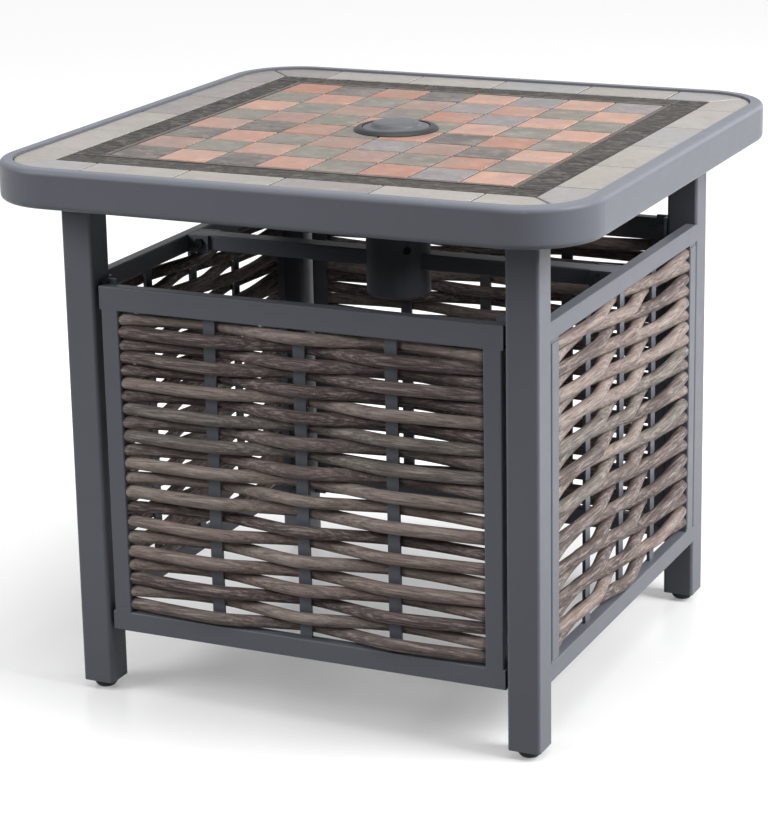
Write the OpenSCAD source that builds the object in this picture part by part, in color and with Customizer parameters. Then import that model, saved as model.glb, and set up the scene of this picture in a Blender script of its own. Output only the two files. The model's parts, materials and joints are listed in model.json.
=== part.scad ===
// Square patio side table: tiled top with an umbrella hole, square-tube legs on
// levelling feet, and four open woven panels round the base.
// Origin on the floor under the middle of the top, +Z up, -Y to the front.

/* [Tabletop] */
// Overall width and depth of the top
top_w = 560; // [520:5:620]
// Height of the top edge of the rim above the floor
top_z = 500; // [480:5:560]
// Height of the rim's side
rim_h = 35; // [31:1:42]
// Radius of the rim's corners in plan
rim_corner_r = 68; // [50:1:90]
// Width of the flat lip round the tiles
lip_w = 12; // [10:1:16]
// Radius of the rim's rounded top and bottom edges
rim_edge_r = 5; // [3:0.5:7]
// Thickness of the rim's metal
rim_wall = 2; // [1.5:0.1:2.5]
// Width of the shelf in the rim that carries the deck
shelf_w = 14; // [10:1:18]
// Thickness of the deck board under the tiles
deck_t = 6; // [4:0.5:8]

/* [Tiles] */
// Thickness of the tiles
tile_t = 8; // [6:0.5:9]
// Depth of the tiles' face below the rim's top
tile_drop = 2; // [1:0.5:3]
// Width of the grout joints
joint_w = 2; // [1:0.25:3]
// Depth of the grout below the tiles' face
grout_drop = 0.8; // [0.3:0.1:1.5]
// Width of the border tiles
border_w = 40.4; // [34:0.1:46]
// Length of the mitred corner tiles along the slate band
corner_tile_l = 44.6; // [38:0.1:52]
// Width of the thin liner strip round the small tiles
liner_w = 4; // [3:0.5:6]
// Width of the dark slate band
band_w = 25.6; // [18:0.1:28]

/* [Umbrella hole] */
// Bore of the hole ring
ring_bore = 48; // [40:0.5:52]
// Outer diameter of the ring's neck
ring_neck_d = 54; // [50:0.5:58]
// Width of the ring's flange round the cap's recess
ring_flange_w = 7.5; // [6:0.25:10]
// Height of the ring's flange above the tiles
ring_flange_h = 3.5; // [2.5:0.25:5]
// Diameter of the recess in the flange that the cap sits in
cap_seat_d = 63; // [58:0.5:66]
// Diameter of the cap's raised middle
cap_boss_d = 44; // [38:1:50]
// Height of the cap's raised middle above its skirt
cap_boss_h = 4.5; // [3:0.25:6]
// Thickness of the cap's skirt
cap_skirt_t = 2.5; // [2:0.25:3.5]
// Length of the cap's plug
cap_plug_l = 12; // [6:0.5:13]
// Wall of the cap's plug
cap_wall = 2; // [1.5:0.1:3]
// Running clearance between the cap's plug and the ring
cap_fit = 0.3; // [0.2:0.05:0.6]

/* [Legs] */
// Side of the square leg tube
leg_s = 30; // [26:1:34]
// Outer radius of the leg tube's corners
leg_r = 3; // [2:0.5:4]
// Wall of the leg tube
leg_wall = 1.5; // [1.2:0.1:2.5]
// Distance of the legs' outer faces inside the top's edge, at the sides
legs_in_x = 54; // [45:1:70]
// Distance of the legs' outer faces inside the top's edge, at the front and back
legs_in_y = 58.5; // [45:0.5:70]
// Thickness of the mounting plates on the legs
plate_t = 3; // [2:0.5:4]
// Side of the square mounting plates
plate_s = 52; // [48:1:56]
// Radius of the screws through the mounting plates
screw_r = 2.5; // [2:0.25:3]
// Depth of the plug in the lower end of each leg
plug_l = 14; // [10:1:20]

/* [Levelling feet] */
// Height of the foot below the leg
foot_h = 7.5; // [6:0.5:12]
// Diameter of the foot
foot_d = 20; // [16:1:24]
// Radius of the foot's threaded stud
stud_r = 4; // [3:0.5:5]
// Length of the stud above the foot
stud_l = 30; // [22:1:40]
// Travel of the foot on its thread
foot_travel = 12; // [6:1:16]
// Gap between a foot that is screwed home and its leg
foot_gap = 0.3; // [0.2:0.1:0.6]
// Running clearance round the stud
stud_fit = 0.05; // [0.02:0.01:0.1]
// Depth of the stud's seat in the foot
stud_seat = 4; // [2:0.5:5]

/* [Side frames] */
// Height of the side frames' rails
side_rail_h = 17; // [16:0.5:22]
// Thickness of the side frames' rails
side_rail_t = 12; // [10:0.5:16]
// Top of the side frames' upper rails above the floor
side_top_z = 385; // [370:1:400]
// Top of the side frames' lower rails above the floor
side_low_z = 80.5; // [72:0.5:95]
// Width of the upright bars beside the legs
side_stile_w = 17; // [13:0.5:20]
// Thickness of the upright bars
side_stile_t = 11; // [9:0.5:12]
// Depth of the upright bars behind the legs' faces
side_stile_in = 0; // [0:0.25:2]
// Gap between an upright bar and the leg beside it
side_gap = 0.8; // [0.3:0.1:1.5]
// Gap between an upright bar and the rails above and below it
side_stile_gap = 2.5; // [1:0.25:4]
// Depth of the weave's middle behind the legs' outer faces, at the sides
side_weave_in = 8; // [7:0.5:10]

/* [Front and back panels] */
// Depth of the panels behind the legs' faces
panel_in = 3.8; // [2:0.2:6]
// Gap between a panel and the leg beside it
panel_gap = 3; // [1:0.25:5]
// Thickness of the panel frames
panel_t = 12; // [10:0.5:16]
// Height of the upper panel rails
panel_top_h = 22; // [18:0.5:26]
// Height of the lower panel rails
panel_low_h = 18.5; // [15:0.5:24]
// Width of the panel stiles
panel_stile_w = 17; // [14:0.5:22]
// Length of each rail past the stiles
panel_over = 1.5; // [0.5:0.25:3]
// Top of the panels above the floor
panel_top_z = 385; // [370:1:400]
// Bottom of the panels above the floor
panel_low_z = 60.5; // [55:0.5:70]
// Depth of the weave's middle behind the panel's face
panel_weave_in = 8; // [7:0.5:10]

/* [Weave] */
// Diameter of the canes
cane_d = 12; // [9:0.5:12]
// Spacing of the canes
cane_pitch = 12.8; // [12.5:0.1:15]
// Width of the flat stakes
stake_w = 11.5; // [8:0.5:16]
// Thickness of the flat stakes
stake_t = 3; // [2:0.5:4]
// Clearance between a cane and a stake
weave_gap = 0.8; // [0.5:0.05:1.2]
// Least gap between the rails and the canes next to them
cane_end_gap = 0.8; // [0.4:0.1:1.5]

/* [Umbrella sleeve] */
// Outer diameter of the sleeve tube
sleeve_d = 60; // [56:1:66]
// Wall of the sleeve tube
sleeve_wall = 2.5; // [2:0.1:4]
// Gap between the sleeve tube and the deck above it
sleeve_gap = 9; // [3:0.5:15]
// Length of the sleeve below the top of the crossbar
sleeve_below = 39; // [25:1:60]
// Height of the crossbar
bar_h = 15; // [12:0.5:16]
// Depth of the crossbar
bar_t = 20; // [16:0.5:26]
// Wall of the crossbar and rail tubes
bar_wall = 1.2; // [1:0.1:2]
// Thickness of the brackets at the crossbar's ends
saddle_t = 3; // [2:0.5:4]
// Length of a bracket's cheeks
saddle_l = 18; // [14:1:26]
// Gap between a bracket and the crossbar in it
saddle_gap = 0.3; // [0.2:0.1:0.6]
// Radius of the pole screw's hole in the sleeve
pole_hole_r = 4; // [3:0.5:5]
// Height of the pole screw's hole above the crossbar's top
pole_hole_up = 5; // [5:0.5:20]

/* [Fixings] */
// Radius of the bolts
bolt_r = 3; // [2:0.25:4]
// Radius of the bolt heads
bolt_head_r = 5; // [4.5:0.25:6]
// Thickness of the bolt heads
bolt_head_h = 3.5; // [2.5:0.25:5]
// Clearance of a bolt or screw in its hole
bolt_fit = 0.1; // [0.05:0.05:0.3]
// Length of a tab's legs
tab_l = 14; // [12.5:0.5:20]
// Thickness of the tabs
tab_t = 3; // [2:0.5:4]
// Height of the tabs
tab_h = 20; // [14:1:26]
// Height of the upper tabs above the panel's top
tab_up = 4; // [2:0.5:6]

/* [Hidden] */
$fn = 48;
eps = 0.01;
tube_edge_r = 1.5;

rim_low_z = top_z - rim_h;
tile_z = top_z - tile_drop;
bed_z = tile_z - tile_t;
deck_low_z = bed_z - deck_t;
inner_half = top_w / 2 - lip_w;
inner_r = rim_corner_r - lip_w;
deck_gap = 0.3;
tile_edge_gap = 1;
tile_half = inner_half - tile_edge_gap;
tile_r = inner_r - tile_edge_gap;

field_n = 8;
border_in = tile_half - border_w;
border_pitch = (border_in - corner_tile_l) / 2;
band_out = border_in - joint_w;
band_in = band_out - band_w;
liner_out = band_in - joint_w;
liner_in = liner_out - liner_w;
field_half = liner_in - joint_w / 2;
field_pitch = 2 * field_half / field_n;
tile_hole_r = ring_neck_d / 2 + 2;
deck_hole_r = ring_neck_d / 2 + 1;

cap_plug_r = ring_bore / 2 - cap_fit;
cap_seat_z = tile_z + ring_flange_h - cap_skirt_t - 0.5;
cap_skirt_r = cap_seat_d / 2 - cap_fit;
cap_lift_gap = 0.3;

legs_x = top_w - 2 * legs_in_x;
legs_y = top_w - 2 * legs_in_y;
plate_z = deck_low_z - plate_t;
leg_x = legs_x / 2 - leg_s / 2;
leg_y = legs_y / 2 - leg_s / 2;
bay_x = legs_x / 2 - leg_s;
bay_y = legs_y / 2 - leg_s;
screw_off = plate_s / 2 - 6;

panel_half = bay_x - panel_gap;
panel_open = panel_half - panel_over - panel_stile_w;
panel_y = legs_y / 2 - panel_in;
panel_weave_y = panel_y - panel_weave_in;
side_open = bay_y - side_gap - side_stile_w;
side_weave_x = legs_x / 2 - side_weave_in;

saddle_y = bar_t / 2 + saddle_gap;
rail_in_x = legs_x / 2 - side_rail_t;
sleeve_low_z = side_top_z - sleeve_below;
sleeve_l = deck_low_z - sleeve_gap - sleeve_low_z;
pole_hole_turn = -50;

coat = "#62656c";
cane_tan = "#857d74";

// Flat shapes

// Rectangle with round corners, centred
module round_rect(a, b, r) {
  square([a - 2 * r, b], center = true);
  square([a, b - 2 * r], center = true);
  for (i = [-1, 1], j = [-1, 1])
    translate([i * (a / 2 - r), j * (b / 2 - r)])
      circle(r = r);
}

// Square tube standing on its end
module square_tube(a, b, r, wall, l) {
  linear_extrude(l)
    difference() {
      round_rect(a, b, r);
      round_rect(a - 2 * wall, b - 2 * wall, r / 2);
    }
}

// Tube along X or Y between two ends, b high and t thick
module rail_x(x0, x1, y, z, t, b) {
  translate([x0, y, z])
    rotate([90, 0, 90])
      square_tube(t, b, tube_edge_r, bar_wall, x1 - x0);
}

module rail_y(y0, y1, x, z, t, b) {
  translate([x, y1, z])
    rotate([90, 0, 0])
      square_tube(t, b, tube_edge_r, bar_wall, y1 - y0);
}

// Four copies, turned a quarter each
module quarters() {
  for (k = [0:3])
    rotate(90 * k)
      children();
}

// Tabletop

// Section through the rim: outer face at x = 0, the table's middle towards -x
module rim_section() {
  translate([-rim_wall, rim_edge_r])
    square([rim_wall, rim_h - 2 * rim_edge_r]);
  for (m = [0, 1])
    translate([0, m * rim_h])
      mirror([0, m])
        intersection() {
          translate([-rim_edge_r, rim_edge_r])
            difference() {
              circle(r = rim_edge_r);
              circle(r = rim_edge_r - rim_wall);
            }
          translate([-rim_edge_r, 0])
            square(rim_edge_r);
        }
  translate([-lip_w, 0])
    square([lip_w - rim_edge_r, rim_wall]);
  translate([-lip_w, rim_h - rim_wall])
    square([lip_w - rim_edge_r, rim_wall]);
  translate([-lip_w, deck_low_z - rim_wall - rim_low_z])
    square([rim_wall, top_z - deck_low_z + rim_wall - eps]);
  translate([-lip_w - shelf_w, deck_low_z - rim_wall - rim_low_z])
    square([shelf_w + rim_wall, rim_wall]);
}

module top_rim() {
  side = top_w - 2 * rim_corner_r;
  color(coat)
    translate([0, 0, rim_low_z])
      quarters() {
        translate([top_w / 2, side / 2, 0])
          rotate([90, 0, 0])
            linear_extrude(side)
              rim_section();
        translate([side / 2, side / 2, 0])
          rotate_extrude(angle = 90, $fn = 96)
            translate([rim_corner_r, 0])
              rim_section();
      }
}

module top_deck() {
  half = inner_half - deck_gap;
  color("#5a5a58")
    difference() {
      translate([0, 0, deck_low_z])
        linear_extrude(deck_t)
          round_rect(2 * half, 2 * half, inner_r - deck_gap);
      translate([0, 0, deck_low_z - 1])
        cylinder(r = deck_hole_r, h = deck_t + 2);
      screw_places()
        translate([0, 0, -1])
          cylinder(r = screw_r + bolt_fit, h = deck_t);
    }
}

// Tiles

module tile(x0, y0, x1, y1) {
  translate([x0, y0, bed_z])
    cube([x1 - x0, y1 - y0, tile_t]);
}

module field_tiles() {
  h = joint_w / 2;
  color("#b9a79e")
    difference() {
      for (i = [0:field_n - 1], j = [0:field_n - 1]) {
        x = i * field_pitch - field_half;
        y = j * field_pitch - field_half;
        tile(x + h, y + h, x + field_pitch - h, y + field_pitch - h);
      }
      translate([0, 0, bed_z - 1])
        cylinder(r = tile_hole_r, h = tile_t + 2);
    }
}

module liner_strips() {
  color("#6a5f5a")
    quarters()
      tile(-liner_out, -liner_out, liner_in - joint_w, -liner_in);
}

module slate_band() {
  h = joint_w / 2;
  step = 2 * band_in / 3;
  color("#55504e")
    quarters() {
      for (i = [0:2])
        tile(i * step - band_in + h, -band_out, (i + 1) * step - band_in - h, -band_in);
      tile(band_in + h, -band_out, band_out, -band_in - h);
    }
}

// One corner tile, cut on the mitre and round the outside
module corner_tile() {
  x0 = 2 * border_pitch + joint_w / 2;
  m = joint_w * sqrt(2) / 2;
  translate([0, 0, bed_z])
    linear_extrude(tile_t)
      intersection() {
        round_rect(2 * tile_half, 2 * tile_half, tile_r);
        polygon([[x0, -tile_half - 1], [x0, -border_in], [border_in - m, -border_in],
          [tile_half + 1 - m, -tile_half - 1]]);
      }
}

module border_tiles() {
  h = joint_w / 2;
  color("#c3c0ba")
    quarters() {
      for (i = [-2:1])
        tile(i * border_pitch + h, -tile_half, (i + 1) * border_pitch - h, -border_in);
      corner_tile();
      mirror([1, 0, 0])
        corner_tile();
    }
}

// Grout bar along X at height y
module bar_x(y, x0, x1) {
  translate([x0, y - joint_w / 2])
    square([x1 - x0, joint_w]);
}

module bar_y(x, y0, y1) {
  translate([x - joint_w / 2, y0])
    square([joint_w, y1 - y0]);
}

module tile_grout() {
  h = joint_w / 2;
  step = 2 * band_in / 3;
  color("#4b4643")
    translate([0, 0, bed_z])
      linear_extrude(tile_t - grout_drop)
        difference() {
          union() {
            for (i = [1:field_n - 1]) {
              bar_x(i * field_pitch - field_half, -liner_in, liner_in);
              bar_y(i * field_pitch - field_half, -liner_in, liner_in);
            }
            quarters() {
              bar_x(-field_half, -liner_in, liner_in);
              bar_x(-liner_out - h, -band_in, band_in);
              bar_x(-band_out - h, -border_in, border_in);
              bar_y(liner_in - h, -liner_out, -liner_in);
              for (i = [0:2])
                bar_y(i * step - band_in, -band_out, -band_in);
              bar_y(band_in, -band_out, -band_in);
              for (i = [-2:2])
                bar_y(i * border_pitch, -tile_half, -border_in);
              rotate(-45)
                bar_x(0, band_out * sqrt(2), (tile_half - tile_r) * sqrt(2) + tile_r - 0.5);
            }
          }
          circle(r = tile_hole_r);
        }
}

// Umbrella hole

module hole_ring() {
  seat_r = cap_seat_d / 2;
  flange_r = seat_r + ring_flange_w;
  color("#4a4c50")
    rotate_extrude()
      polygon([
        [ring_bore / 2, deck_low_z],
        [ring_neck_d / 2, deck_low_z],
        [ring_neck_d / 2, tile_z],
        [flange_r, tile_z],
        [flange_r, tile_z + 0.8],
        [flange_r - 2.5, tile_z + ring_flange_h - 0.6],
        [flange_r - 4.5, tile_z + ring_flange_h],
        [seat_r, tile_z + ring_flange_h],
        [seat_r, cap_seat_z - cap_lift_gap],
        [ring_bore / 2, cap_seat_z - cap_lift_gap]
      ]);
}

module hole_cap() {
  boss_r = cap_boss_d / 2;
  skirt_z = cap_seat_z + cap_skirt_t;
  color("#6b6e73")
    rotate_extrude()
      polygon([
        [0, cap_seat_z],
        [cap_plug_r - cap_wall, cap_seat_z],
        [cap_plug_r - cap_wall, cap_seat_z - cap_plug_l],
        [cap_plug_r - 1, cap_seat_z - cap_plug_l],
        [cap_plug_r, cap_seat_z - cap_plug_l + 2],
        [cap_plug_r, cap_seat_z],
        [cap_skirt_r, cap_seat_z],
        [cap_skirt_r, skirt_z - 1],
        [cap_skirt_r - 1.5, skirt_z],
        [boss_r + 2, skirt_z],
        [boss_r, skirt_z + cap_boss_h - 1.5],
        [boss_r - 2, skirt_z + cap_boss_h],
        [0, skirt_z + cap_boss_h + 0.8]
      ]);
}

// Legs and feet

module at_leg(i, j) {
  translate([i * leg_x, j * leg_y, 0])
    children();
}

module all_legs() {
  for (i = [-1, 1], j = [-1, 1])
    at_leg(i, j)
      children();
}

// Two screws a plate, on the diagonal that clears the leg
module screw_places() {
  for (i = [-1, 1], j = [-1, 1], s = [-1, 1])
    translate([i * leg_x + s * i * screw_off, j * leg_y - s * j * screw_off, deck_low_z])
      children();
}

module leg() {
  color(coat)
    translate([0, 0, foot_h])
      square_tube(leg_s, leg_s, leg_r, leg_wall, plate_z - foot_h);
}

module leg_plugs() {
  side = leg_s - 2 * leg_wall - 0.2;
  color("#222222")
    all_legs()
      translate([0, 0, foot_h])
        difference() {
          linear_extrude(plug_l)
            round_rect(side, side, leg_r / 2);
          translate([0, 0, -1])
            cylinder(r = stud_r + stud_fit, h = plug_l + 2);
        }
}

module leg_plates() {
  color(coat)
    difference() {
      all_legs()
        translate([0, 0, plate_z])
          linear_extrude(plate_t)
            round_rect(plate_s, plate_s, 4);
      screw_places()
        translate([0, 0, -plate_t - 1])
          cylinder(r = screw_r + bolt_fit, h = plate_t + 2);
    }
}

module top_screws() {
  color("silver")
    screw_places() {
      translate([0, 0, -plate_t - 2.5])
        cylinder(r = screw_r * 1.9, h = 2.5);
      translate([0, 0, -plate_t - 1])
        cylinder(r = screw_r, h = plate_t + deck_t - 1);
    }
}

// Round ribbed pad, with a blind hole for the stud
module foot_pad() {
  pad_h = foot_h - foot_gap;
  pad_r = foot_d / 2;
  ribs = 20;
  color("#1f1f21")
    difference() {
      rotate_extrude()
        polygon([[0, 0], [pad_r - 2, 0], [pad_r - 0.6, 1.6], [pad_r, 2.4],
          [pad_r, pad_h - 1], [pad_r - 1, pad_h], [0, pad_h]]);
      for (k = [0:ribs - 1])
        rotate(k * 360 / ribs)
          translate([pad_r + 0.3, 0, 2])
            cylinder(r = 0.9, h = pad_h, $fn = 16);
      translate([0, 0, foot_h - foot_gap - stud_seat])
        cylinder(r = stud_r, h = foot_h);
    }
}

module foot_stud() {
  color("silver")
    translate([0, 0, foot_h - foot_gap - stud_seat])
      cylinder(r = stud_r, h = stud_seat + foot_gap + stud_l);
}

// Woven panels

// Depth of a cane at u stakes from the middle, as a share of its full swing: a wave that
// is a little flat where it passes a stake, and runs in to the middle at the ends
function flat_wave(c) = 1.2 * c - 0.2 * c ^ 3;
function swing(u) = (abs(u) <= 1) ? -flat_wave(cos(180 * u)) : cos(90 * (abs(u) - 1));

// Band along X that follows the weave, scaled in depth, h high
module cane_band(half, depth, h) {
  us = [for (i = [-6:6]) i / 3];
  linear_extrude(h, center = true)
    polygon(concat([for (u = us) [u * half / 2, depth * swing(u) - cane_d / 2]],
      [for (u = us) [-u * half / 2, depth * swing(u) + cane_d / 2]]));
}

// One cane over three stakes, its middle line on y = 0, with an eight-sided section
module cane(half, first) {
  depth = first * (stake_t / 2 + cane_d / 2 + weave_gap);
  intersection() {
    cane_band(half, depth, cane_d);
    rotate([45, 0, 0])
      cane_band(half, depth * sqrt(0.5), 3 * cane_d);
    rotate([-45, 0, 0])
      cane_band(half, depth * sqrt(0.5), 3 * cane_d);
  }
}

// All the canes of one panel, centred between its rails, row 1 at the top; first is 1
// where row 1 passes outside the middle stake
module canes(half, low_z, high_z, first) {
  gaps = floor((high_z - low_z - cane_d - 2 * cane_end_gap) / cane_pitch);
  top_z = (high_z + low_z + gaps * cane_pitch) / 2;
  color(cane_tan)
    for (i = [0:gaps])
      translate([0, 0, top_z - i * cane_pitch])
        cane(half - weave_gap, (i % 2 == 0) ? first : -first);
}

// Three flat stakes at the quarter points of the opening
module stakes(half, low_z, high_z) {
  color(coat)
    for (k = [-1, 0, 1])
      translate([k * half / 2 - stake_w / 2, -stake_t / 2, low_z])
        cube([stake_w, stake_t, high_z - low_z]);
}

// Side frames, drawn for the right side, where -Y of the weave faces +X
module at_side(s) {
  mirror([(s > 0) ? 0 : 1, 0, 0])
    children();
}

module side_rail(top) {
  z = (top ? side_top_z : side_low_z) - side_rail_h / 2;
  color(coat)
    rail_y(-bay_y, bay_y, legs_x / 2 - side_rail_t / 2, z, side_rail_t, side_rail_h);
}

module side_stile(j) {
  low = side_low_z + side_stile_gap;
  high = side_top_z - side_rail_h - side_stile_gap;
  x = legs_x / 2 - side_stile_in - side_stile_t / 2;
  y = bay_y - side_gap - side_stile_w / 2;
  color(coat)
    translate([x, j * y, low])
      square_tube(side_stile_t, side_stile_w, tube_edge_r, bar_wall, high - low);
}

module side_weave() {
  translate([side_weave_x, 0, 0])
    rotate(90)
      children();
}

// Front and back panels, drawn for the front
module at_front(j) {
  mirror([0, (j > 0) ? 0 : 1, 0])
    children();
}

module panel_rail(top) {
  b = top ? panel_top_h : panel_low_h;
  z = top ? panel_top_z - b / 2 : panel_low_z + b / 2;
  color(coat)
    rail_x(-panel_half, panel_half, -panel_y + panel_t / 2, z, panel_t, b);
}

module panel_stile(i) {
  low = panel_low_z + panel_low_h;
  high = panel_top_z - panel_top_h;
  color(coat)
    translate([i * (panel_open + panel_stile_w / 2), -panel_y + panel_t / 2, low])
      square_tube(panel_stile_w, panel_t, tube_edge_r, bar_wall, high - low);
}

module panel_weave() {
  translate([0, -panel_weave_y, 0])
    children();
}

module side_canes(first) {
  side_weave()
    canes(side_open, side_low_z, side_top_z - side_rail_h, first);
}

module panel_canes(first) {
  panel_weave()
    canes(panel_open, panel_low_z + panel_low_h, panel_top_z - panel_top_h, first);
}

module side_stakes() {
  side_weave()
    stakes(side_open, side_low_z, side_top_z - side_rail_h);
}

module panel_stakes() {
  panel_weave()
    stakes(panel_open, panel_low_z + panel_low_h, panel_top_z - panel_top_h);
}

// Panel fixings: an angle tab in each corner, from the leg to the back of the rail
module tab_places() {
  for (i = [-1, 1], j = [-1, 1], top = [0, 1])
    mirror([(i > 0) ? 0 : 1, 0, 0])
      mirror([0, (j > 0) ? 0 : 1, 0])
        translate([bay_x, panel_y - panel_t,
          top ? panel_top_z + tab_up - tab_h : panel_low_z])
          children();
}

module panel_tabs() {
  bolt_x = tab_t + (tab_l - tab_t) / 2;
  color(coat)
    tab_places() {
      translate([-tab_t, -tab_l, 0])
        cube([tab_t, tab_l, tab_h]);
      difference() {
        translate([-tab_l, -tab_t, 0])
          cube([tab_l, tab_t, tab_h]);
        translate([-bolt_x, 1, tab_h / 2 - 1])
          rotate([90, 0, 0])
            cylinder(r = bolt_r * 0.7 + bolt_fit, h = tab_t + 2);
      }
    }
}

module panel_bolts() {
  bolt_x = tab_t + (tab_l - tab_t) / 2;
  color("silver")
    tab_places()
      translate([-bolt_x, -tab_t, tab_h / 2 - 1])
        rotate([90, 0, 0]) {
          cylinder(r = bolt_head_r * 0.75, h = bolt_head_h * 0.7, $fn = 6);
          translate([0, 0, -tab_t])
            cylinder(r = bolt_r * 0.7, h = tab_t + 1);
        }
}

// Umbrella sleeve and crossbar

module sleeve_tube() {
  color(coat)
    translate([0, 0, sleeve_low_z])
      difference() {
        cylinder(d = sleeve_d, h = sleeve_l, $fn = 96);
        translate([0, 0, -1])
          cylinder(d = sleeve_d - 2 * sleeve_wall, h = sleeve_l + 2, $fn = 96);
        rotate(pole_hole_turn)
          translate([0, 0, sleeve_below + pole_hole_up])
            rotate([0, 90, 0])
              cylinder(r = pole_hole_r, h = sleeve_d);
      }
}

// Bar from the sleeve to the saddle, its inner end cut to the tube
module crossbar() {
  bolt_x = rail_in_x - saddle_t - saddle_l / 2;
  color(coat)
    difference() {
      rail_x(sleeve_d / 2 - sleeve_wall, rail_in_x - saddle_t - saddle_gap, 0,
        side_top_z - bar_h / 2, bar_t, bar_h);
      translate([0, 0, sleeve_low_z])
        cylinder(d = sleeve_d, h = sleeve_l, $fn = 96);
      translate([bolt_x, bar_t, side_top_z - bar_h / 2])
        rotate([90, 0, 0])
          cylinder(r = bolt_r + bolt_fit, h = 2 * bar_t);
    }
}

// Bracket on the inner face of the side rail, with a cheek each side of the crossbar
module saddle() {
  low = side_top_z - side_rail_h;
  bolt_x = rail_in_x - saddle_t - saddle_l / 2;
  color(coat)
    difference() {
      union() {
        translate([rail_in_x - saddle_t, -saddle_y - saddle_t, low])
          cube([saddle_t, 2 * (saddle_y + saddle_t), side_rail_h]);
        for (j = [0, 1])
          mirror([0, j, 0])
            translate([rail_in_x - saddle_t - saddle_l, saddle_y, low])
              cube([saddle_l + eps, saddle_t, side_rail_h]);
      }
      translate([bolt_x, bar_t, side_top_z - bar_h / 2])
        rotate([90, 0, 0])
          cylinder(r = bolt_r + bolt_fit, h = 2 * bar_t);
    }
}

module saddle_bolt() {
  bolt_x = rail_in_x - saddle_t - saddle_l / 2;
  y = saddle_y + saddle_t;
  color("silver")
    translate([bolt_x, 0, side_top_z - bar_h / 2])
      rotate([90, 0, 0]) {
        cylinder(r = bolt_r, h = 2 * y + 2, center = true);
        for (m = [0, 1])
          mirror([0, 0, m])
            translate([0, 0, y])
              cylinder(r = bolt_head_r, h = bolt_head_h, $fn = 6);
      }
}

module saddle_bolts() {
  for (s = [-1, 1])
    at_side(s)
      saddle_bolt();
}

module crossbar_saddles() {
  for (s = [-1, 1])
    at_side(s)
      saddle();
}

top_rim();
top_deck();
tile_grout();
field_tiles();
liner_strips();
slate_band();
border_tiles();
hole_ring();
hole_cap();
at_leg(-1, -1) leg();  // front_left_leg
at_leg(1, -1) leg();  // front_right_leg
at_leg(-1, 1) leg();  // back_left_leg
at_leg(1, 1) leg();  // back_right_leg
leg_plugs();
leg_plates();
top_screws();
at_leg(-1, -1) foot_pad();  // front_left_pad
at_leg(-1, -1) foot_stud();  // front_left_stud
at_leg(1, -1) foot_pad();  // front_right_pad
at_leg(1, -1) foot_stud();  // front_right_stud
at_leg(-1, 1) foot_pad();  // back_left_pad
at_leg(-1, 1) foot_stud();  // back_left_stud
at_leg(1, 1) foot_pad();  // back_right_pad
at_leg(1, 1) foot_stud();  // back_right_stud
at_side(-1) side_rail(true);  // left_top_rail
at_side(-1) side_rail(false);  // left_low_rail
at_side(-1) side_stile(-1);  // left_front_stile
at_side(-1) side_stile(1);  // left_back_stile
at_side(-1) side_stakes();  // left_stakes
at_side(-1) side_canes(-1);  // left_canes
at_side(1) side_rail(true);  // right_top_rail
at_side(1) side_rail(false);  // right_low_rail
at_side(1) side_stile(-1);  // right_front_stile
at_side(1) side_stile(1);  // right_back_stile
at_side(1) side_stakes();  // right_stakes
at_side(1) side_canes(-1);  // right_canes
at_front(1) panel_rail(true);  // front_top_rail
at_front(1) panel_rail(false);  // front_low_rail
at_front(1) panel_stile(-1);  // front_left_stile
at_front(1) panel_stile(1);  // front_right_stile
at_front(1) panel_stakes();  // front_stakes
at_front(1) panel_canes(1);  // front_canes
at_front(-1) panel_rail(true);  // back_top_rail
at_front(-1) panel_rail(false);  // back_low_rail
at_front(-1) panel_stile(-1);  // back_left_stile
at_front(-1) panel_stile(1);  // back_right_stile
at_front(-1) panel_stakes();  // back_stakes
at_front(-1) panel_canes(1);  // back_canes
panel_tabs();
panel_bolts();
sleeve_tube();
at_side(-1) crossbar();  // left_crossbar
at_side(1) crossbar();  // right_crossbar
crossbar_saddles();
saddle_bolts();
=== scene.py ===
import json
import math
import random

import bmesh
import bpy
from mathutils import Matrix, Vector, noise


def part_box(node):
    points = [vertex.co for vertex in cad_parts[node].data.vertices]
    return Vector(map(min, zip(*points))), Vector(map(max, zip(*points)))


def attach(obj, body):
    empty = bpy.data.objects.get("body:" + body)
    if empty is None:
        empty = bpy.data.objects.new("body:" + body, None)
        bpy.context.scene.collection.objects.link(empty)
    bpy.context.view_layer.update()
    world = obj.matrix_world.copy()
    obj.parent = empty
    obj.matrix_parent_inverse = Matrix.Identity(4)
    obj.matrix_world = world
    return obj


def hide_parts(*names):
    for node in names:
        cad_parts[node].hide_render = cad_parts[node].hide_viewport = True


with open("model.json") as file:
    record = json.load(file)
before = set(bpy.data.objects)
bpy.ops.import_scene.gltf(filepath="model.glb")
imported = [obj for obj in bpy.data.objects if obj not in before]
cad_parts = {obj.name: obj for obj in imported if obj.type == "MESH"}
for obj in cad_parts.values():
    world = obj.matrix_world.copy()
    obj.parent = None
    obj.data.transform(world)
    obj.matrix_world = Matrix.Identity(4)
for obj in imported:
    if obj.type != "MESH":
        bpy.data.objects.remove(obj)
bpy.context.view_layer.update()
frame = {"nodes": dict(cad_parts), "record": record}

scene = bpy.context.scene
nodes = frame["nodes"]
touching = 1e-6  # points nearer than this are one point, in metres
hair = 1e-5  # a difference in height or length below this counts as none
nearlyAll = 0.9  # an edge longer than this share of a piece runs its whole length
print("frame loaded:", len(nodes), "CAD nodes")


def meshPiece(name, bm, material, body, replaced=(), smooth=True):
    # turns a bmesh into a finished piece that rides on a body of the table
    data = bpy.data.meshes.new(name)
    bm.to_mesh(data)
    bm.free()
    piece = bpy.data.objects.new(name, data)
    scene.collection.objects.link(piece)
    data.materials.append(material)
    data.polygons.foreach_set("use_smooth", [smooth] * len(data.polygons))
    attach(piece, body)
    if replaced:
        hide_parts(*replaced)
    return piece


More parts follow.
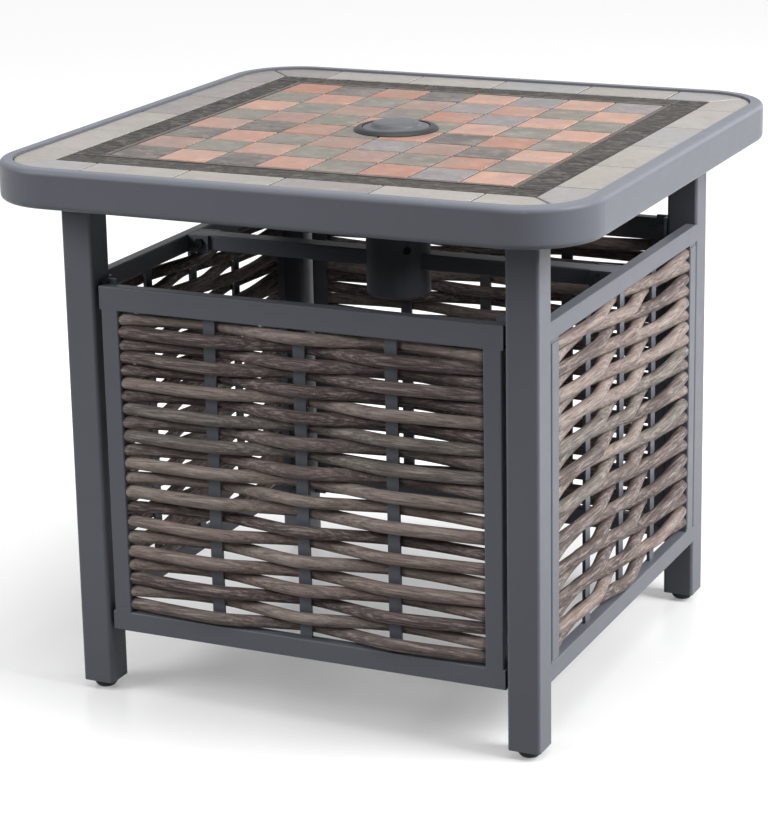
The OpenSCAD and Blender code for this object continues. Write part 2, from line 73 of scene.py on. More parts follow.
def mergedCopy(nodeName):
    # a clean bmesh of a CAD node: doubles merged and flat faces joined
    bm = bmesh.new()
    bm.from_mesh(nodes[nodeName].data)
    bmesh.ops.remove_doubles(bm, verts=bm.verts, dist=touching)
    bmesh.ops.dissolve_limit(bm, angle_limit=math.radians(1),
                             verts=bm.verts, edges=bm.edges)
    return bm


def islands(bm):
    # the separate pieces in a bmesh, each as a list of faces
    found, seen = [], set()
    for start in bm.faces:
        if start in seen:
            continue
        seen.add(start)
        todo, piece = [start], []
        while todo:
            face = todo.pop()
            piece.append(face)
            for edge in face.edges:
                for other in edge.link_faces:
                    if other not in seen:
                        seen.add(other)
                        todo.append(other)
        found.append(piece)
    return found


def corners(faces):
    # the lowest and highest corner of a few faces
    spots = [v.co for face in faces for v in face.verts]
    return (Vector([min(spot[i] for spot in spots) for i in range(3)]),
            Vector([max(spot[i] for spot in spots) for i in range(3)]))


socketKinds = {"colour": "NodeSocketColor", "value": "NodeSocketFloat", "spot": "NodeSocketVector"}


def makeGroup(name, inputs, outputs):
    tree = bpy.data.node_groups.new(name, "ShaderNodeTree")
    for label, kind, value in inputs:
        socket = tree.interface.new_socket(name=label, in_out="INPUT",
                                           socket_type=socketKinds[kind])
        if value is not None:
            socket.default_value = value
    for label, kind in outputs:
        tree.interface.new_socket(name=label, in_out="OUTPUT", socket_type=socketKinds[kind])
    return tree, tree.nodes.new("NodeGroupInput"), tree.nodes.new("NodeGroupOutput")


def plug(tree, node, values):
    # plain values or sockets into a node's inputs
    for key, value in values.items():
        if isinstance(value, bpy.types.NodeSocket):
            tree.links.new(value, node.inputs[key])
        elif value is not None:
            node.inputs[key].default_value = value
    return node


def addNode(tree, kind, links=None, **settings):
    node = tree.nodes.new("ShaderNode" + kind)
    for key, value in settings.items():
        setattr(node, key, value)
    return plug(tree, node, links or {})


def useGroup(tree, group, links):
    node = tree.nodes.new("ShaderNodeGroup")
    node.node_tree = group
    return plug(tree, node, links)


def mixColour(tree, factor, a, b):
    return addNode(tree, "Mix", {0: factor, 6: a, 7: b}, data_type="RGBA").outputs[2]


def maths(tree, operation, a, b=None):
    return addNode(tree, "Math", {0: a, 1: b}, operation=operation).outputs[0]


def remap(tree, value, low, high, toLow, toHigh):
    return addNode(tree, "MapRange", {"Value": value, "From Min": low, "From Max": high,
                                      "To Min": toLow, "To Max": toHigh}).outputs["Result"]


def cloudNoise(tree, spot, scale, detail=3.0, roughness=0.6, distortion=0.0):
    return addNode(tree, "TexNoise", {"Vector": spot, "Scale": scale, "Detail": detail,
                                      "Roughness": roughness,
                                      "Distortion": distortion}).outputs["Fac"]


def pickColour(tree, tone, palette):
    # one colour of a palette, picked by a tone from 0 to 1
    node = addNode(tree, "ValToRGB", {"Fac": tone})
    steps = node.color_ramp
    steps.interpolation = "CONSTANT"
    while len(steps.elements) < len(palette):
        steps.elements.new(0.5)
    for i, (element, colour) in enumerate(zip(steps.elements, palette)):
        element.position = i / len(palette)
        element.color = (*colour, 1)
    return node.outputs["Color"]


def newMaterial(name, **settings):
    material = bpy.data.materials.new(name)
    material.use_nodes = True
    tree = material.node_tree
    shader = tree.nodes["Principled BSDF"]
    for key, value in settings.items():
        shader.inputs[key].default_value = value
    return material, tree, shader


def finishMaterial(tree, shader, group, strength, distance):
    # a group's colour, roughness and height into the shader
    tree.links.new(group.outputs["Colour"], shader.inputs["Base Color"])
    tree.links.new(group.outputs["Roughness"], shader.inputs["Roughness"])
    bump = addNode(tree, "Bump", {"Height": group.outputs["Height"], "Strength": strength,
                                  "Distance": distance})
    tree.links.new(bump.outputs["Normal"], shader.inputs["Normal"])


# the camera stands in front of the right-hand corner, a little above the top; metres and degrees
camera = {"place": (1.0062, -2.2069, 0.9644), "yaw": 24.865, "pitch": 15.569, "roll": -1.079,
          "lens": 118.16, "sensor": 36, "shiftY": -0.0732, "farthest": 60}


def addCamera():
    data = bpy.data.cameras.new("camera")
    data.lens = camera["lens"]
    data.sensor_width = camera["sensor"]
    data.shift_y = camera["shiftY"]
    data.clip_end = camera["farthest"]
    eye = bpy.data.objects.new("camera", data)
    scene.collection.objects.link(eye)
    eye.matrix_world = (Matrix.Translation(camera["place"])
                        @ Matrix.Rotation(math.radians(camera["yaw"]), 4, "Z")
                        @ Matrix.Rotation(math.radians(90 - camera["pitch"]), 4, "X")
                        @ Matrix.Rotation(math.radians(camera["roll"]), 4, "Z"))
    scene.camera = eye


# a soft lamp at the right, a large one overhead, and weak ones in front and behind;
# each has its place, its width in metres and its watts, and points at the table's middle
studio = {"ambient": 0.03, "mirrored": 0.7, "seen": 1.0, "aim": (0, 0, 0.3),
          "lamps": [("keyLamp", (2.2, 0.1, 1.75), 1.2, 80),
                    ("topLamp", (0.3, -0.3, 2.6), 2.0, 45),
                    ("frontLamp", (-1.7, -1.6, 1.6), 1.2, 35),
                    ("backLamp", (1.3, 3.0, 0.9), 1.4, 13)]}


def addStudio():
    world = bpy.data.worlds.new("studio")
    scene.world = world
    world.use_nodes = True
    tree = world.node_tree
    sky = tree.nodes["Background"]
    sky.inputs["Color"].default_value = (1, 1, 1, 1)
    rays = addNode(tree, "LightPath")
    seen = maths(tree, "MAXIMUM", rays.outputs["Is Camera Ray"],
                 rays.outputs["Is Transmission Ray"])
    level = remap(tree, rays.outputs["Is Glossy Ray"], 0, 1,
                  studio["ambient"], studio["mirrored"])
    level = remap(tree, seen, 0, 1, level, studio["seen"])
    tree.links.new(level, sky.inputs["Strength"])
    for name, place, size, power in studio["lamps"]:
        data = bpy.data.lights.new(name, "AREA")
        data.size = size
        data.energy = power
        lamp = bpy.data.objects.new(name, data)
        scene.collection.objects.link(lamp)
        lamp.location = place
        view = Vector(studio["aim"]) - Vector(place)
        lamp.rotation_euler = view.to_track_quat("-Z", "Y").to_euler()


# the floor is pale where it is seen and throws little light back up; it glows more further out, so
# the floor round the table is darker, a painted shade
floor = {"size": 40.0, "below": 0.0004, "roughness": 0.25,
         "colour": (0.78, 0.78, 0.785, 1), "bounce": (0.10, 0.10, 0.102, 1),
         "glow": 0.24, "farGlow": 0.62, "near": 0.30, "far": 0.78}


def addFloor():
    material, tree, shader = newMaterial("paleFloor", Roughness=floor["roughness"])
    rays = addNode(tree, "LightPath")
    seen = maths(tree, "MAXIMUM", rays.outputs["Is Camera Ray"], rays.outputs["Is Glossy Ray"])
    tree.links.new(mixColour(tree, seen, floor["bounce"], floor["colour"]),
                   shader.inputs["Base Color"])
    shader.inputs["Emission Color"].default_value = (1, 1, 1, 1)
    place = addNode(tree, "TexCoord").outputs["Object"]
    reach = addNode(tree, "VectorMath", {0: place}, operation="LENGTH").outputs["Value"]
    # the lesser glow near the middle paints a shade on the floor round the table
    glow = remap(tree, reach, floor["near"], floor["far"], floor["glow"], floor["farGlow"])
    tree.links.new(maths(tree, "MULTIPLY", seen, glow), shader.inputs["Emission Strength"])
    bm = bmesh.new()
    bmesh.ops.create_grid(bm, x_segments=1, y_segments=1, size=floor["size"] / 2)
    bmesh.ops.translate(bm, vec=(0, 0, -floor["below"]), verts=bm.verts)
    data = bpy.data.meshes.new("floor")
    bm.to_mesh(data)
    bm.free()
    ground = bpy.data.objects.new("floor", data)
    scene.collection.objects.link(ground)
    data.materials.append(material)


addCamera()
addStudio()
addFloor()
scene.view_settings.view_transform = "Standard"
print("camera, studio and floor ready")

# what every surface group gives its material
surface = [("Colour", "colour"), ("Roughness", "value"), ("Height", "value")]

# scales of the drift of tone and of the scuffs, and what the scuffs do
grain = {"cloud": 9.0, "scuff": 60.0, "scuffTone": (-0.02, 0.02), "scuffRough": (-0.04, 0.07)}


def makeGrainGroup():
    # fine orange peel and a faint drift of tone, for paint and mouldings
    tree, inside, outside = makeGroup(
        "fineGrain",
        [("Colour", "colour", (0.5, 0.5, 0.5, 1)), ("Roughness", "value", 0.4),
         ("Drift", "value", 0.08), ("Grain Scale", "value", 900.0)], surface)
    place = addNode(tree, "TexCoord").outputs["Object"]
    peel = cloudNoise(tree, place, inside.outputs["Grain Scale"], 2.0)
    cloud = cloudNoise(tree, place, grain["cloud"], 4.0)
    scuff = cloudNoise(tree, place, grain["scuff"], 5.0, 0.7)
    lift = maths(tree, "MULTIPLY", maths(tree, "SUBTRACT", cloud, 0.5), inside.outputs["Drift"])
    lift = maths(tree, "ADD", lift, remap(tree, scuff, 0.35, 0.75, *grain["scuffTone"]))
    bright = addNode(tree, "HueSaturation", {"Color": inside.outputs["Colour"],
                                             "Value": maths(tree, "ADD", 1.0, lift)})
    tree.links.new(bright.outputs["Color"], outside.inputs["Colour"])
    rough = maths(tree, "ADD", inside.outputs["Roughness"],
                  remap(tree, scuff, 0.3, 0.8, *grain["scuffRough"]))
    tree.links.new(rough, outside.inputs["Roughness"])
    tree.links.new(peel, outside.inputs["Height"])
    return tree


# scales of the stone's marks, and how much each one does
stoneMarks = {"tint": 24.0, "tintMost": 0.5, "vein": 75.0, "veinShade": 0.86, "pits": 420.0,
              "lengthways": 0.55, "cloudGain": 3.0, "height": (0.5, 0.3, 0.4)}


def makeStoneGroup():
    # clouded stone with pale scratches, darker veins and pits, over a colour given for each tile;
    # on the slate the pale marks are painted highlights on its riven face
    tree, inside, outside = makeGroup(
        "stoneFace",
        [("Colour", "colour", (0.5, 0.5, 0.5, 1)), ("Tone", "value", 0.0),
         ("Roughness", "value", 0.4), ("Cloud", "value", 0.25), ("Scale", "value", 40.0),
         ("Tint", "colour", (0.5, 0.4, 0.35, 1)), ("Scratch", "value", 0.3),
         ("Scratch Scale", "value", 130.0), ("Scratch And Highlight Colour", "colour", (0.5, 0.5, 0.5, 1))],
        surface)
    place = addNode(tree, "TexCoord").outputs["Object"]
    tone = inside.outputs["Tone"]
    offset = addNode(tree, "CombineXYZ", {"X": maths(tree, "MULTIPLY", tone, 7.0),
                                          "Z": maths(tree, "MULTIPLY", tone, 3.0)})
    spot = addNode(tree, "VectorMath", {0: place, 1: offset.outputs["Vector"]},
                   operation="ADD").outputs[0]
    along = addNode(tree, "Mapping", {"Vector": spot,
                                      "Scale": (stoneMarks["lengthways"], 1.0, 1.0)})
    cloud = cloudNoise(tree, spot, inside.outputs["Scale"], 6.0, 0.62, 0.4)
    tint = cloudNoise(tree, spot, stoneMarks["tint"], 3.0)
    vein = cloudNoise(tree, spot, stoneMarks["vein"], 8.0, 0.7, 1.6)
    pits = cloudNoise(tree, spot, stoneMarks["pits"], 3.0)
    scratch = cloudNoise(tree, along.outputs["Vector"], inside.outputs["Scratch Scale"],
                         5.0, 0.65, 0.6)
    tinted = mixColour(tree, remap(tree, tint, 0.40, 0.72, 0.0, stoneMarks["tintMost"]),
                       inside.outputs["Colour"], inside.outputs["Tint"])
    # the pale marks: scratches on the tiles, painted highlights on the slate
    mark = maths(tree, "MULTIPLY", remap(tree, scratch, 0.50, 0.62, 0.0, 1.0),
                 inside.outputs["Scratch"])
    marked = mixColour(tree, mark, tinted, inside.outputs["Scratch And Highlight Colour"])
    value = maths(tree, "MULTIPLY", maths(tree, "SUBTRACT", cloud, 0.5),
                  maths(tree, "MULTIPLY", inside.outputs["Cloud"], stoneMarks["cloudGain"]))
    value = maths(tree, "MULTIPLY", maths(tree, "ADD", 1.0, value),
                  remap(tree, vein, 0.35, 0.5, stoneMarks["veinShade"], 1.0))
    shaded = addNode(tree, "HueSaturation", {"Color": marked, "Value": value})
    tree.links.new(shaded.outputs["Color"], outside.inputs["Colour"])
    rough = maths(tree, "ADD", inside.outputs["Roughness"],
                  remap(tree, cloud, 0.3, 0.7, -0.06, 0.12))
    tree.links.new(rough, outside.inputs["Roughness"])
    scratched, pitted, clouded = (maths(tree, "MULTIPLY", source, share) for source, share
                                  in zip((scratch, pits, cloud), stoneMarks["height"]))
    height = maths(tree, "ADD", maths(tree, "ADD", scratched, pitted), clouded)
    tree.links.new(height, outside.inputs["Height"])
    return tree


# each mark's scale over the stretched cane, and the least and most that it shades
caneMarks = {"broad": 1.0, "broadShade": (0.84, 1.16), "fibre": 3.6, "fibreShade": (0.74, 1.18),
             "fine": 13.0, "fineShade": (0.82, 1.16), "palest": 0.55, "darkest": 0.5,
             "roughness": (0.62, 0.42), "toneShift": (31.0, 17.0, 23.0)}


def makeCaneGroup():
    # long streaks, fibre lines and speckle along a cane, over a colour given for each cane
    tree, inside, outside = makeGroup(
        "caneStreaks",
        [("Along", "spot", None), ("Tone", "value", 0.5), ("Colour", "colour", (0.5, 0.4, 0.35, 1)),
         ("Pale", "colour", (0.6, 0.5, 0.45, 1)), ("Dark", "colour", (0.05, 0.04, 0.035, 1))],
        surface)
    offset = addNode(tree, "CombineXYZ", {axis: maths(tree, "MULTIPLY", inside.outputs["Tone"], far)
                                          for axis, far in zip("XYZ", caneMarks["toneShift"])})
    spot = addNode(tree, "VectorMath", {0: inside.outputs["Along"], 1: offset.outputs["Vector"]},
                   operation="ADD").outputs[0]
    broad = cloudNoise(tree, spot, caneMarks["broad"], 4.0, 0.6, 0.3)
    fibre = cloudNoise(tree, spot, caneMarks["fibre"], 5.0, 0.7)
    fine = cloudNoise(tree, spot, caneMarks["fine"], 3.0, 0.7)
    value = maths(tree, "MULTIPLY", remap(tree, broad, 0.3, 0.7, *caneMarks["broadShade"]),
                  remap(tree, fibre, 0.32, 0.68, *caneMarks["fibreShade"]))
    value = maths(tree, "MULTIPLY", value, remap(tree, fine, 0.3, 0.7, *caneMarks["fineShade"]))
    shaded = addNode(tree, "HueSaturation", {"Color": inside.outputs["Colour"], "Value": value})
    paler = mixColour(tree, remap(tree, fibre, 0.50, 0.64, 0.0, caneMarks["palest"]),
                      shaded.outputs["Color"], inside.outputs["Pale"])
    streaked = mixColour(tree, remap(tree, fibre, 0.44, 0.33, 0.0, caneMarks["darkest"]),
                         paler, inside.outputs["Dark"])
    tree.links.new(streaked, outside.inputs["Colour"])
    tree.links.new(remap(tree, fibre, 0.3, 0.7, *caneMarks["roughness"]),
                   outside.inputs["Roughness"])
    height = maths(tree, "ADD", maths(tree, "MULTIPLY", fibre, 0.6),
                   maths(tree, "MULTIPLY", fine, 0.4))
    tree.links.new(height, outside.inputs["Height"])
    return tree


grainGroup = makeGrainGroup()
stoneGroup = makeStoneGroup()
caneGroup = makeCaneGroup()

grainDepth = 0.0004  # height of the bumps in paint and mouldings, in metres
finishes = {
    "slateCoat": {"colour": (0.152, 0.162, 0.187, 1), "roughness": 0.38, "drift": 0.10,
                  "grain": 900.0, "bump": 0.05, "specular": 0.17},
    "darkMoulding": {"colour": (0.030, 0.031, 0.034, 1), "roughness": 0.40, "drift": 0.06,
                     "grain": 700.0, "bump": 0.04, "specular": 0.22},
    "capMoulding": {"colour": (0.095, 0.099, 0.108, 1), "roughness": 0.42, "drift": 0.06,
                    "grain": 700.0, "bump": 0.03, "specular": 0.3},
    "footPlastic": {"colour": (0.012, 0.012, 0.013, 1), "roughness": 0.48, "drift": 0.10,
                    "grain": 600.0, "bump": 0.10, "specular": 0.35},
    "deckBoard": {"colour": (0.050, 0.050, 0.053, 1), "roughness": 0.75, "drift": 0.30,
                  "grain": 300.0, "bump": 0.25, "specular": 0.25},
    "groutLine": {"colour": (0.080, 0.070, 0.063, 1), "roughness": 0.85, "drift": 0.35,
                  "grain": 1400.0, "bump": 0.5, "specular": 0.25},
}


def makeGrainMaterial(name):
    look = finishes[name]
    material, tree, shader = newMaterial(name, **{"Specular IOR Level": look["specular"]})
    group = useGroup(tree, grainGroup, {"Colour": look["colour"], "Roughness": look["roughness"],
                                        "Drift": look["drift"], "Grain Scale": look["grain"]})
    finishMaterial(tree, shader, group, look["bump"], grainDepth)
    return material


# plates and studs are zinc plated, the bolts are blackened
metals = {"zincSteel": {"colour": (0.55, 0.55, 0.57, 1), "roughness": 0.35},
          "blackSteel": {"colour": (0.045, 0.045, 0.050, 1), "roughness": 0.42}}
metalGrain = {"drift": 0.3, "scale": 1500.0, "bump": 0.1, "depth": 0.0002}


def makeMetalMaterial(name):
    look = metals[name]
    material, tree, shader = newMaterial(name, Metallic=1.0)
    group = useGroup(tree, grainGroup, {"Colour": look["colour"], "Roughness": look["roughness"],
                                        "Drift": metalGrain["drift"],
                                        "Grain Scale": metalGrain["scale"]})
    finishMaterial(tree, shader, group, metalGrain["bump"], metalGrain["depth"])
    return material


stoneDepth = 0.0006  # height of the bumps in stone, in metres
# the field tiles' first four colours are the grey ones of the chequer, the rest the pink ones
stones = {
    "fieldStone": {"palette": [(0.145, 0.135, 0.113), (0.20, 0.185, 0.19), (0.085, 0.075, 0.069),
                               (0.15, 0.148, 0.122), (0.37, 0.195, 0.145), (0.43, 0.245, 0.185),
                               (0.27, 0.165, 0.135), (0.33, 0.155, 0.108)],
                   "tint": (0.27, 0.225, 0.205, 1), "roughness": 0.36, "cloud": 0.30, "scale": 34.0,
                   "scratch": 0.24, "scratchScale": 130.0, "scratchAndHighlightColour": (0.40, 0.36, 0.33, 1),
                   "specular": 0.2, "bump": 0.25},
    "borderStone": {"palette": [(0.30, 0.28, 0.255), (0.26, 0.245, 0.245), (0.32, 0.30, 0.28),
                                (0.22, 0.20, 0.193), (0.275, 0.27, 0.275)],
                    "tint": (0.27, 0.235, 0.215, 1), "roughness": 0.34, "cloud": 0.12,
                    "scale": 20.0, "scratch": 0.18, "scratchScale": 80.0,
                    "scratchAndHighlightColour": (0.42, 0.40, 0.38, 1), "specular": 0.38, "bump": 0.2},
    # the slate's pale scratch colour paints highlights on its riven face
    "slateStone": {"palette": [(0.030, 0.027, 0.025), (0.042, 0.038, 0.035)],
                   "tint": (0.022, 0.020, 0.019, 1), "roughness": 0.5, "cloud": 0.35,
                   "scale": 120.0, "scratch": 0.65, "scratchScale": 150.0,
                   "scratchAndHighlightColour": (0.13, 0.115, 0.10, 1), "specular": 0.2, "bump": 1.0},
    "linerStone": {"palette": [(0.10, 0.087, 0.08), (0.085, 0.074, 0.068)],
                   "tint": (0.11, 0.095, 0.085, 1), "roughness": 0.5, "cloud": 0.3, "scale": 90.0,
                   "scratch": 0.3, "scratchScale": 160.0, "scratchAndHighlightColour": (0.2, 0.18, 0.165, 1),
                   "specular": 0.3, "bump": 0.5},
}


def makeStoneMaterial(name):
    look = stones[name]
    material, tree, shader = newMaterial(name, **{"Specular IOR Level": look["specular"]})
    tone = addNode(tree, "Attribute", attribute_name="tone").outputs["Fac"]
    colour = pickColour(tree, tone, look["palette"])
    group = useGroup(tree, stoneGroup, {
        "Colour": colour, "Tone": tone, "Roughness": look["roughness"], "Cloud": look["cloud"],
        "Scale": look["scale"], "Tint": look["tint"], "Scratch": look["scratch"],
        "Scratch Scale": look["scratchScale"], "Scratch And Highlight Colour": look["scratchAndHighlightColour"]})
    finishMaterial(tree, shader, group, look["bump"], stoneDepth)
    return material


# each cane takes one colour of the palette; the pattern is stretched along it
caneLook = {"palette": [(0.130, 0.100, 0.096), (0.195, 0.157, 0.147), (0.207, 0.183, 0.165),
                        (0.275, 0.214, 0.195), (0.158, 0.124, 0.118), (0.32, 0.26, 0.235)],
            "pale": (0.52, 0.448, 0.40, 1), "dark": (0.034, 0.025, 0.022, 1),
            "along": 7.0, "across": 150.0, "specular": 0.14, "bump": 0.45, "depth": 0.0008}


def makeCaneMaterial(name, stretch):
    material, tree, shader = newMaterial(name, **{"Specular IOR Level": caneLook["specular"]})
    place = addNode(tree, "TexCoord").outputs["Object"]
    along = addNode(tree, "Mapping", {"Vector": place, "Scale": stretch}).outputs["Vector"]
    tone = addNode(tree, "Attribute", attribute_name="tone").outputs["Fac"]
    colour = pickColour(tree, tone, caneLook["palette"])
    group = useGroup(tree, caneGroup, {"Along": along, "Tone": tone, "Colour": colour,
                                       "Pale": caneLook["pale"], "Dark": caneLook["dark"]})
    finishMaterial(tree, shader, group, caneLook["bump"], caneLook["depth"])
    return material


slateCoat, footPlastic = makeGrainMaterial("slateCoat"), makeGrainMaterial("footPlastic")
capMoulding = makeGrainMaterial("capMoulding")
fieldStone, borderStone = makeStoneMaterial("fieldStone"), makeStoneMaterial("borderStone")
slateStone = makeStoneMaterial("slateStone")
along, across = caneLook["along"], caneLook["across"]
caneAlongX = makeCaneMaterial("caneAlongX", (along, across, across))
caneAlongY = makeCaneMaterial("caneAlongY", (across, along, across))

# the finish of every material slot in the record
slotFinish = {"frame_coat": slateCoat, "deck_board": makeGrainMaterial("deckBoard"),
              "grout": makeGrainMaterial("groutLine"), "field_tile": fieldStone,
              "liner_tile": makeStoneMaterial("linerStone"), "slate_tile": slateStone,
              "border_tile": borderStone, "hole_ring": makeGrainMaterial("darkMoulding"),
              "hole_cap": capMoulding, "plug_plastic": footPlastic, "foot_plastic": footPlastic,
              "zinc_steel": makeMetalMaterial("zincSteel"),
              "black_steel": makeMetalMaterial("blackSteel"), "cane": caneAlongX}
for part in frame["record"]["subparts"]:
    skin = nodes[part["node"]].data
    skin.materials.clear()
    skin.materials.append(slotFinish[part["material_slot"]])
print("materials ready:", len(bpy.data.materials))

# tile tops have worn edges; the field is a chequer, the border is laid at random
tiles = {"edge": 0.0008, "edgeSteps": 2, "fieldSeed": 4, "borderSeed": 11, "pitch": 0.048}


def chequer(faces, dice):
    low, high = corners(faces)
    column, row = (math.floor((low[i] + high[i]) / 2 / tiles["pitch"]) for i in range(2))
    return 0.5 * ((column + row) % 2) + dice.random() / 2


def makeTiles(name, nodeName, material, seed, chequered):
    # the CAD tiles, each with a tone of its own
    dice = random.Random(seed)
    bm = mergedCopy(nodeName)
    tone = bm.faces.layers.float.new("tone")
    for piece in islands(bm):
        value = chequer(piece, dice) if chequered else dice.random()
        for face in piece:
            face[tone] = value
    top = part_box(nodeName)[1].z - hair
    rims = [edge for edge in bm.edges if all(v.co.z > top for v in edge.verts)]
    bmesh.ops.bevel(bm, geom=rims, offset=tiles["edge"], offset_type="OFFSET", affect="EDGES",
                    segments=tiles["edgeSteps"], profile=0.5, material=-1, clamp_overlap=True)
    return meshPiece(name, bm, material, "table", [nodeName], smooth=False)


# riven slate: cells of this size drop by up to this depth
slate = {"cell": 0.0032, "depth": 0.0009, "scale": 150.0, "octaves": 4, "apart": 9, "seed": 3}


def makeSlateBand():
    # every piece of the band gets an uneven face of its own
    dice = random.Random(slate["seed"])
    bm = bmesh.new()
    tone = bm.faces.layers.float.new("tone")
    source = mergedCopy("slate_band")
    for piece in islands(source):
        first, last = corners(piece)
        size = last - first
        steps = [max(2, round(size[i] / slate["cell"])) for i in range(2)]
        block = bmesh.ops.create_cube(bm, size=1, matrix=Matrix.Translation((first + last) / 2)
                                      @ Matrix.Diagonal((*size, 1)))["verts"]
        edges = list({edge for v in block for edge in v.link_edges})
        for axis in (0, 1):
            lines = [e for e in edges if e.is_valid
                     and abs(e.verts[0].co[axis] - e.verts[1].co[axis]) > size[axis] * nearlyAll]
            made = bmesh.ops.subdivide_edges(bm, edges=lines, cuts=steps[axis] - 1,
                                             use_grid_fill=True)["geom"]
            edges = list(set(edges) | {g for g in made if isinstance(g, bmesh.types.BMEdge)})
        faces = {face for e in edges if e.is_valid for face in e.link_faces}
        value = dice.random()
        for face in faces:
            face[tone] = value
        top = last.z - hair
        shift = Vector((value * slate["apart"], 0, 0))
        for v in {v for face in faces for v in face.verts}:
            if v.co.z > top:
                rise = noise.fractal(v.co * slate["scale"] + shift, 1.0, 2.0, slate["octaves"])
                v.co.z -= slate["depth"] * min(1, max(0, 0.5 + 0.5 * rise))
    source.free()
    return meshPiece("slateBand", bm, slateStone, "table", ["slate_band"], smooth=False)


makeTiles("fieldTiles", "field_tiles", fieldStone, tiles["fieldSeed"], True)
makeTiles("borderTiles", "border_tiles", borderStone, tiles["borderSeed"], False)
makeSlateBand()
print("tiled top ready")

# the cap's half section, from inside the plug round to the middle of the dome
cap = {"steps": 72,
       "profile": [(0.0217, 0.4985), (0.0217, 0.4866), (0.0221, 0.4865), (0.0237, 0.4885),
                   (0.0237, 0.4985), (0.0310, 0.4985), (0.0312, 0.4988), (0.0312, 0.5001),
                   (0.0309, 0.5006), (0.0300, 0.5010), (0.0246, 0.5010), (0.0238, 0.5013),
                   (0.0229, 0.5022), (0.0222, 0.5036), (0.0214, 0.5046), (0.0200, 0.5052),
                   (0.0165, 0.5057), (0.0110, 0.5060), (0.0055, 0.50625), (0.0, 0.5063)]}


def makeCap():
    bm = bmesh.new()
    line = [bm.verts.new((r, 0, z)) for r, z in cap["profile"]]
    for a, b in zip(line, line[1:]):
        bm.edges.new((a, b))
    bmesh.ops.spin(bm, geom=list(bm.verts) + list(bm.edges), cent=(0, 0, 0), axis=(0, 0, 1),
                   angle=math.tau, steps=cap["steps"], use_merge=True)
    bmesh.ops.remove_doubles(bm, verts=bm.verts, dist=touching)
    bmesh.ops.edgeloop_fill(bm, edges=[e for e in bm.edges if e.is_boundary])
    bmesh.ops.recalc_face_normals(bm, faces=bm.faces)
    return meshPiece("holeCap", bm, capMoulding, "cap", ["hole_cap"])


makeCap()
print("cap ready")

# the rows lie loosest two thirds of the way down; sizes in metres, slack and thick as shares
weave = {"sides": 14, "cuts": 64, "rows": 22, "radius": 0.0060, "swing": 0.0073, "sharp": 0.9,
         "span": 0.2688, "slack": 0.194, "loosest": 0.68, "looseReach": 0.25, "jitter": 0.0005,
         "thick": 0.05, "thinnest": -1.8, "thickest": 0.2, "thickWaves": 22,
         "slump": 0.0012, "slumpWaves": 9, "into": 0.001, "flush": 0.0016, "easeOut": 0.25,
         "apart": 0.1}


def swing(u):
    # in and out over three stakes at -1, 0 and 1, ending level at 2
    if abs(u) <= 1:
        return -math.asin(weave["sharp"] * math.cos(math.pi * u)) / math.asin(weave["sharp"])
    return math.cos(math.pi / 2 * (abs(u) - 1))


def rowHeights(top, dice):
    count = weave["rows"] - 1
    offs = [((i + 0.5) / count - weave["loosest"]) / weave["looseReach"] for i in range(count)]
    gaps = [1 + weave["slack"] * math.exp(-off ** 2) for off in offs]
    heights = [top - weave["span"] * sum(gaps[:i]) / sum(gaps) for i in range(weave["rows"])]
    return [z + dice.uniform(-1, 1) * weave["jitter"] for z in heights]


def makeCanes(name, nodeName, axis, inward, first, seed):
    # round canes along X or Y; first is 1 where the top row passes outside the middle stake
    dice = random.Random(seed)
    low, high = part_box(nodeName)
    middle = (low + high) / 2
    length = high[axis] - low[axis] + 2 * weave["into"]
    heights = rowHeights(middle.z + weave["span"] / 2, dice)
    rows = [{"tone": dice.random(),
             "size": 1 + dice.uniform(weave["thinnest"], weave["thickest"]) * weave["thick"],
             "drift": dice.uniform(0, 50)} for row in range(weave["rows"])]
    bm = bmesh.new()
    turn = Matrix.Rotation(math.pi / 2, 4, "Y" if axis == 0 else "X")
    for row in range(weave["rows"]):  # made well apart, so that each point knows its row
        place = Matrix.Translation((middle.x, middle.y, -weave["apart"] * row))
        bmesh.ops.create_cone(bm, cap_ends=True, segments=weave["sides"], radius1=weave["radius"],
                              radius2=weave["radius"], depth=length, matrix=place @ turn)
    longEdges = [e for e in bm.edges
                 if abs(e.verts[0].co[axis] - e.verts[1].co[axis]) > length * nearlyAll]
    bmesh.ops.subdivide_edges(bm, edges=longEdges, cuts=weave["cuts"])
    tone = bm.verts.layers.float.new("tone")
    across = 1 - axis
    step = (high[axis] - low[axis]) / 4  # from stake to stake
    nudge = 0.01
    for v in bm.verts:
        row = round(-v.co.z / weave["apart"])
        look = rows[row]
        v[tone] = look["tone"]
        s, out = v.co[axis] - middle[axis], v.co[across] - middle[across]
        up = v.co.z + weave["apart"] * row
        u = min(2, max(-2, s / step))
        side = weave["swing"] * (first if row % 2 == 0 else -first)
        slope = side * (swing(u + nudge) - swing(u - nudge)) / (2 * nudge) / step
        lean = math.atan(slope) * min(1, (2 - abs(u)) / weave["easeOut"])
        swell = noise.noise(Vector((s * weave["thickWaves"], look["drift"], 0)))
        size = look["size"] * (1 + weave["thick"] * swell)
        sag = noise.noise(Vector((s * weave["slumpWaves"], look["drift"] + 7, 3)))
        bend = side * swing(u) - weave["flush"] * max(0, abs(u) - 1) ** 2
        v.co[across] = middle[across] + inward * bend + out * size * math.cos(lean)
        v.co[axis] = middle[axis] + s - inward * out * size * math.sin(lean)
        v.co.z = heights[row] + up * size + weave["slump"] * sag
    return meshPiece(name, bm, caneAlongX if axis == 0 else caneAlongY, "table", [nodeName])


# piece, CAD node, axis along the canes, way inward, first row's side and seed
panels = [("frontCanes", "front_canes", 0, 1, 1, 18960),
          ("backCanes", "back_canes", 0, -1, 1, 22),
          ("rightCanes", "right_canes", 1, -1, -1, 17868),
          ("leftCanes", "left_canes", 1, 1, -1, 24)]
for panel in panels:
    makeCanes(*panel)
print("canes ready")

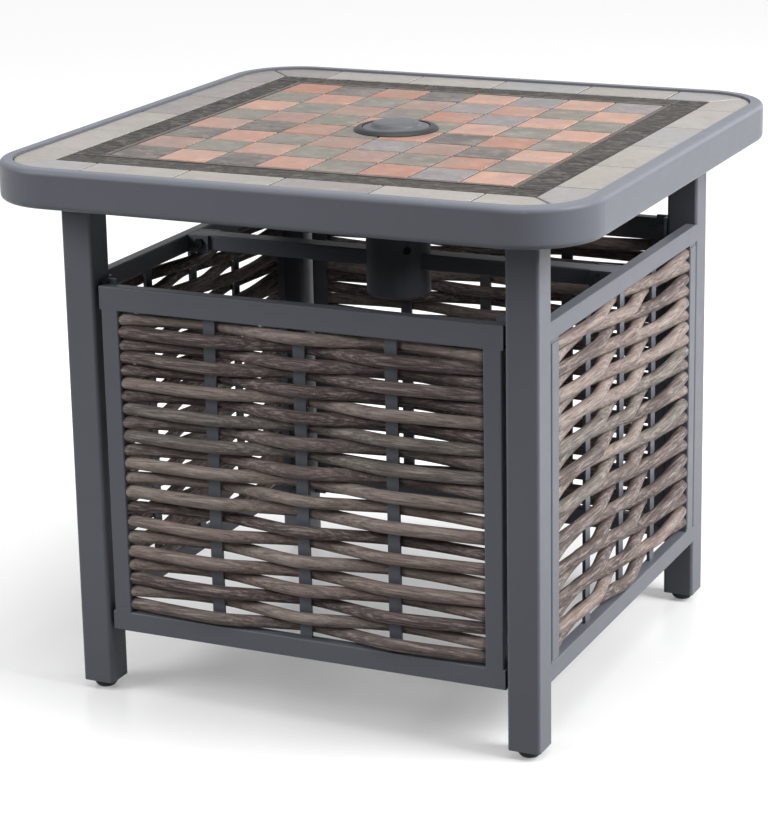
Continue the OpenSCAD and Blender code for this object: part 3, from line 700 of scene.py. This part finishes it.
# ground-off welds fill the grooves where the bars meet; each is given by its lowest and highest
# corner and mirrored left to right, and those beyond middleReach also front to back
welds = {"round": 0.0015, "steps": 3, "middleReach": 0.05,
         "rails": [((0.2230, 0.1914, 0.3680), (0.2260, 0.1945, 0.3850)),
                   ((0.2230, 0.1914, 0.0635), (0.2260, 0.1945, 0.0805))],
         "stiles": [((0.1745, -0.2177, 0.3630), (0.1915, -0.2162, 0.3646)),
                    ((0.1745, -0.2177, 0.0774), (0.1915, -0.2162, 0.0790))],
         "ends": [((0.2150, 0.1737, 0.3654), (0.2252, 0.1907, 0.3681)),
                  ((0.2150, 0.1737, 0.0804), (0.2252, 0.1907, 0.0831))],
         "sleeve": [((0.0284, -0.0096, 0.3704), (0.0301, 0.0096, 0.3846))]}


def addBlock(bm, low, high, roundAxis):
    # a bar-shaped fill, with its outward edges along one axis rounded like the bars
    low, high = Vector(low), Vector(high)
    block = bmesh.ops.create_cube(bm, size=1, matrix=Matrix.Translation((low + high) / 2)
                                  @ Matrix.Diagonal((*(high - low), 1)))["verts"]
    if roundAxis is None:
        return
    face = 0 if roundAxis == 1 else 1
    outer = high[face] if high[face] > 0 else low[face]
    edges = [e for e in {e for v in block for e in v.link_edges}
             if abs(e.verts[0].co[roundAxis] - e.verts[1].co[roundAxis]) > hair
             and all(abs(v.co[face] - outer) < touching for v in e.verts)]
    bmesh.ops.bevel(bm, geom=edges, offset=welds["round"], offset_type="OFFSET", affect="EDGES",
                    segments=welds["steps"], profile=0.5, material=-1)


def mirrorFaces(bm, faces, flip):
    # a mirrored copy of some faces
    keys = list({v for f in faces for v in f.verts}) + list({e for f in faces for e in f.edges})
    copied = bmesh.ops.duplicate(bm, geom=keys + faces)["geom"]
    bmesh.ops.scale(bm, vec=flip, verts=[g for g in copied if isinstance(g, bmesh.types.BMVert)])


def makeWelds():
    bm = bmesh.new()
    for kind, roundAxis in (("rails", 1), ("stiles", 2), ("ends", None), ("sleeve", None)):
        for low, high in welds[kind]:
            addBlock(bm, low, high, roundAxis)
    mirrorFaces(bm, list(bm.faces), (-1, 1, 1))
    mirrorFaces(bm, [f for f in bm.faces
                     if abs(f.calc_center_median().y) > welds["middleReach"]], (1, -1, 1))
    bmesh.ops.recalc_face_normals(bm, faces=bm.faces)
    return meshPiece("groundWelds", bm, slateCoat, "table", smooth=False)


makeWelds()
print("welds ready")


print("scene ready")
